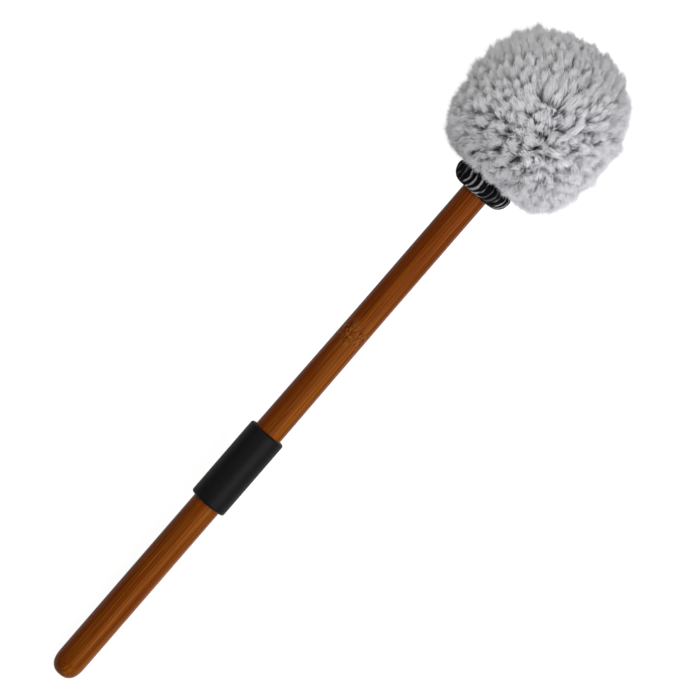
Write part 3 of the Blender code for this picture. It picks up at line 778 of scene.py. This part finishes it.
# The locks are shared out round the mallet's axis, and each share's strands make one piece
order = np.argsort(np.arctan2(locks @ np.array(above), locks @ np.array(side)))
for number, share in enumerate(np.array_split(order, PILE_PIECES)):
    lock = np.repeat(share, STRANDS_PER_LOCK)
    normals = locks[lock]
    count = len(lock)
    scatter = tangent(random.normal(size=(count, 3)), normals)
    scatter /= np.maximum(1, np.linalg.norm(scatter, axis=1, keepdims=True) / SCATTER_LIMIT)
    wool = lock_wool[lock]
    roots = lock_roots[lock] + scatter * ROOT_SCATTER
    tips = lock_tips[lock] + scatter * (TIP_SCATTER + WOOL_SCATTER * wool)[:, None]
    wander = (TIP_WANDER + WOOL_WANDER * wool)[:, None]
    tips += tangent(random.normal(size=(count, 3)), normals) * wander
    tips -= (tips - roots) * (SHORTEST_BY * random.random(count) ** 2)[:, None]
    flyaway = (random.random(count) < FLYAWAY_SHARE)[:, None]
    tips += flyaway * (FLYAWAY * normals + FLYAWAY * random.normal(size=(count, 3)))
    # Strands further from their tuft's tip are darker: painted shade between the tufts
    off_tip = np.linalg.norm(tips - tuft_tips[tuft_of[lock]], axis=1) / tuft_radius
    shades_and_tones = lock_shade_and_tone[lock] - SHADE_FALL * np.minimum(off_tip, 1.1) ** 2
    shades_and_tones = np.clip(shades_and_tones + random.normal(scale=TINT_SCATTER, size=count), 0, LIGHTEST)
    crimp = CRIMP + WOOL_CRIMP * wool
    rising = normals + lock_bend[lock]
    piece = pile(f"fleece_pile_{number + 1}", roots, tips, rising, shades_and_tones, crimp)
    dress(piece, pile_finish)
    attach(piece, "mallet")


# Neck binding and drawcord
# Waxed black thread binds the drawn-in cuff to the neck. A braided black cord lies round it,
# inside the collar, and draws the collar's fabric in.

for node, scale, twist in (("neck_binding", 4200, 0.00003), ("drawcord", 2400, 0.00006)):
    strand, strand_shader, place = finish(f"{node}_black", Roughness=0.7)
    lay = place.noise(scale, 2)
    colour = lay.blend((0.008, 0.008, 0.009), (0.03, 0.03, 0.034))
    paint(strand_shader, Base_Color=colour, Normal=lay.bump(twist))
    dress(nodes[node], strand)


# Gathered collar
# A strip of thin black cotton, woven plain and printed with wavy grey stripes, is sewn into a
# casing over the drawcord and pulled up tight, so that it stands in uneven puffs round the neck.

CLOTH = 0.0006
PUFFS = 12
AROUND = 360
SECTION = 36
LIP_ROWS = 7
SECTION_TURNS = (-90, 72)
SECTION_ROUNDING = 0.0050
SECTION_SQUARENESS = 2.3
FLARE = 0.0014
CORD_GAP = 0.0001
CREASE_DEPTH = 0.00016
SWELL = 0.00035
shaft_hole = collar_radii.min()
cord_reach = levels_and_radii("drawcord")[1].max()
half_height = (collar_top - collar_bottom) / 2
section_middle = (collar_top + collar_bottom) / 2

# The casing's section, from its lip round its belly to its upper edge, and how it is gathered
angle = np.linspace(0, 2 * math.pi, AROUND + 1)[:, None] - math.pi / 2
turn = np.radians(np.linspace(*SECTION_TURNS, SECTION))[None, :]
squeeze = abs(np.cos(turn)) ** SECTION_SQUARENESS + abs(np.sin(turn)) ** SECTION_SQUARENESS
squeeze = squeeze ** (-1 / SECTION_SQUARENESS)
section_radius = collar_radius - CLOTH / 2 - SECTION_ROUNDING * (1 - squeeze * np.cos(turn))
section_radius += FLARE * np.sin(turn)
section_level = (half_height - CLOTH / 2) * squeeze * np.sin(turn)
wander = 0.16 * np.sin(3 * angle + 1.0) + 0.10 * np.sin(5 * angle + 2.3)
lean = 0.10 * np.sin(2 * angle + 0.6) * np.sin(turn)
puff = np.abs(np.sin(PUFFS / 2 * (angle + wander + lean))) ** 0.6
puff_depth = collar_radius - CLOTH - cord_reach - CORD_GAP
creases = 0.5 + 0.5 * np.sin(37 * angle + 3 * np.sin(4 * turn + 5 * angle))
belly_share = np.cos(turn) * 0.75 + 0.25
sink = puff_depth * belly_share * (1 - puff) + CREASE_DEPTH * creases
swell = SWELL * np.sin(4 * angle + 0.7) * belly_share
radius = section_radius - (sink - swell) * np.cos(turn)
level = section_middle + section_level - (sink * 0.6) * np.sin(turn)
points = placed(level, radius, np.broadcast_to(angle, radius.shape))
lip_start = shaft_hole + CLOTH / 2
lip_radius = np.linspace(lip_start, radius[:, :1], LIP_ROWS, endpoint=False)[..., 0].T
lip_level = np.broadcast_to(level[:, :1], lip_radius.shape)
lip = placed(lip_level, lip_radius, np.broadcast_to(angle, lip_radius.shape))
points = np.concatenate([lip, points], axis=1)
fold_depth = np.concatenate([np.zeros(lip_radius.shape), sink / puff_depth], axis=1)
widths = np.linalg.norm(np.diff(points, axis=0), axis=2).mean(axis=1)
heights = np.linalg.norm(np.diff(points, axis=1), axis=2).mean(axis=0)
cloth_u = np.concatenate([[0], np.cumsum(widths)])
cloth_v = np.concatenate([[0], np.cumsum(heights)])

shape = bmesh.new()
cloth_map = shape.loops.layers.uv.new("cloth")
# A second map keeps how deep each point lies in its fold, for the painted shade in the creases
crease_shade_map = shape.loops.layers.uv.new("fold")
grid = [[shape.verts.new(point) for point in row] for row in points[:-1]]
for i in range(AROUND):
    for j in range(points.shape[1] - 1):
        after = (i + 1) % AROUND
        face = shape.faces.new((grid[i][j], grid[after][j], grid[after][j + 1], grid[i][j + 1]))
        spots = ((i, j), (i + 1, j), (i + 1, j + 1), (i, j + 1))
        for loop, (p, q) in zip(face.loops, spots):
            loop[cloth_map].uv = (cloth_u[p], cloth_v[q])
            loop[crease_shade_map].uv = (fold_depth[p, q], 0)
mesh = bpy.data.meshes.new("gathered_collar")
shape.to_mesh(mesh)
shape.free()
collar = added("gathered_collar", mesh)
thicken = collar.modifiers.new("cloth", "SOLIDIFY")
thicken.thickness = CLOTH
thicken.offset = 0
collar.data = bpy.data.meshes.new_from_object(
    collar.evaluated_get(bpy.context.evaluated_depsgraph_get())
)
collar.modifiers.clear()
collar.data.shade_smooth()

STRIPE_SPACING = 0.0034
STRIPE_BOW = 80.0
CLOTH_MIDDLE = 0.0105
ROLL_EDGE = (0.0035, 0.0080)
PATCH_TURN = 0.32
THREADS = 12500
WEAVE_RELIEF = 0.00005
BLACK_COTTON = (0.002, 0.002, 0.0025)
GREY_STRIPE = (0.205, 0.200, 0.205)
cotton, cotton_shader, place = finish("striped_cotton", Specular_IOR_Level=0.02)
cloth_place = place.node("ShaderNodeUVMap", {"uv_map": "cloth"})
u = cloth_place.part("X")
v = cloth_place.part("Y")
drift = cloth_place.noise(60, 1)
fork = cloth_place.noise(200, 1)
turns = u * (2 * math.pi / cloth_u[-1]) - math.pi
patches = cloth_place.noise(75, 1) + ((turns + PATCH_TURN) * 4).math("COSINE") * 0.16
off_middle = v - CLOTH_MIDDLE
bowed = u + off_middle * off_middle * STRIPE_BOW
phase = bowed * (2 * math.pi / STRIPE_SPACING) + drift * 7.0
roll = 1 - v.step(*ROLL_EDGE)
stripe = phase.math("SINE") + (fork - 0.5) * 1.6 + roll * patches.step(0.50, 0.60) * 1.2
stripe = stripe.step(0.38, 0.92) * (0.22 + patches.step(0.42, 0.54) * 0.78)
# The grey stripes fade to black down in the folds: painted shade in the creases
fold = place.node("ShaderNodeUVMap", {"uv_map": "fold"}).part("X")
stripe = stripe * (1 - fold.step(0.35, 0.75) * 0.75)
weave = (u * THREADS).math("SINE") * (v * THREADS).math("SINE")
colour = stripe.blend(BLACK_COTTON, GREY_STRIPE)
colour = (0.05 + weave * 0.05).blend(colour, (0.02, 0.02, 0.02))
relief = weave.bump(WEAVE_RELIEF)
paint(cotton_shader, Base_Color=colour, Roughness=0.85 + weave * 0.08, Normal=relief)
dress(collar, cotton)
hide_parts("collar_casing")
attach(collar, "mallet")


# Studio
# A white floor, one large soft lamp beyond the picture's lower right corner, a weaker and warmer
# one beyond its top, and an even light all round. The camera looks down, as in the photograph.

FLOOR_SIZE = 6.0
PAPER_WHITE = 0.80
PAPER_DIM = 0.20
PAPER_GLOW = 0.86
ROOM_LIGHT = 0.35


def emptied(owner):
    """The tree of a material or a world, with its nodes taken out, as a wire to start from."""
    owner.use_nodes = True
    owner.node_tree.nodes.clear()
    return Wire(owner.node_tree)


half = FLOOR_SIZE / 2
corners = [(-half, -half, 0), (half, -half, 0), (half, half, 0), (-half, half, 0)]
mesh = bpy.data.meshes.new("floor")
mesh.from_pydata(corners, [], [(0, 1, 2, 3)])
floor = added("floor", mesh)
paper = bpy.data.materials.new("white_paper")
start = emptied(paper)
shown = start.node("ShaderNodeLightPath", out="Is Camera Ray")
plain = start.node("ShaderNodeBsdfDiffuse", values={"Color": 3 * (PAPER_WHITE,)})
dim = start.node("ShaderNodeBsdfDiffuse", values={"Color": 3 * (PAPER_DIM,)})
glow = start.node("ShaderNodeEmission", values={"Color": (1, 1, 1), "Strength": PAPER_GLOW})
backdrop = start.node("ShaderNodeAddShader", values={0: dim, 1: glow})
mixed = start.node("ShaderNodeMixShader", values={0: shown, 1: plain, 2: backdrop})
start.node("ShaderNodeOutputMaterial", values={"Surface": mixed})
dress(floor, paper)

world = bpy.data.worlds.new("studio")
bpy.context.scene.world = world
start = emptied(world)
shown = start.node("ShaderNodeLightPath", out="Is Camera Ray")
light = {"Color": (1, 1, 1), "Strength": shown * (1 - ROOM_LIGHT) + ROOM_LIGHT}
background = start.node("ShaderNodeBackground", values=light)
start.node("ShaderNodeOutputWorld", values={"Surface": background})


def lamp(name, place, size, power, colour):
    """A square soft lamp that faces the mallet's middle."""
    data = bpy.data.lights.new(name, "AREA")
    data.size = size
    data.energy = power
    data.color = colour
    lit = bpy.data.objects.new(name, data)
    bpy.context.scene.collection.objects.link(lit)
    lit.location = place
    lit.rotation_mode = "QUATERNION"
    lit.rotation_quaternion = (-Vector(place)).to_track_quat("-Z", "Y")


lamp("key", place=(-0.1, -0.92, 1.12), size=1.2, power=27.5, colour=(0.98, 0.985, 1.0))
lamp("fill", place=(0.5, 0.72, 1.35), size=1.1, power=14.5, colour=(1.0, 0.985, 0.94))

LENS = 400
SENSOR = 36
VIEW_WIDTH = 0.359
CAMERA_LEAN = math.radians(1.6)
PICTURE_CENTRE_LEVEL = 0.2245
PICTURE_CENTRE_ASIDE = 0.00395
back = Vector((-math.sin(CAMERA_LEAN), 0, math.cos(CAMERA_LEAN)))
seen_axis = (axis - back * axis.dot(back)).normalized()
across = -side
right = seen_axis * math.cos(SHAFT_ANGLE) + across * math.sin(SHAFT_ANGLE)
upward = seen_axis * math.sin(SHAFT_ANGLE) - across * math.cos(SHAFT_ANGLE)
target = butt + axis * PICTURE_CENTRE_LEVEL + across * PICTURE_CENTRE_ASIDE
data = bpy.data.cameras.new("camera")
data.lens = LENS
data.sensor_width = SENSOR
data.clip_end = 100
camera = bpy.data.objects.new("camera", data)
bpy.context.scene.collection.objects.link(camera)
place = target + back * VIEW_WIDTH * LENS / SENSOR
turned_to = Matrix((right, upward, back)).transposed().to_4x4()
camera.matrix_world = Matrix.Translation(place) @ turned_to
bpy.context.scene.camera = camera
bpy.context.scene.view_settings.view_transform = "Standard"
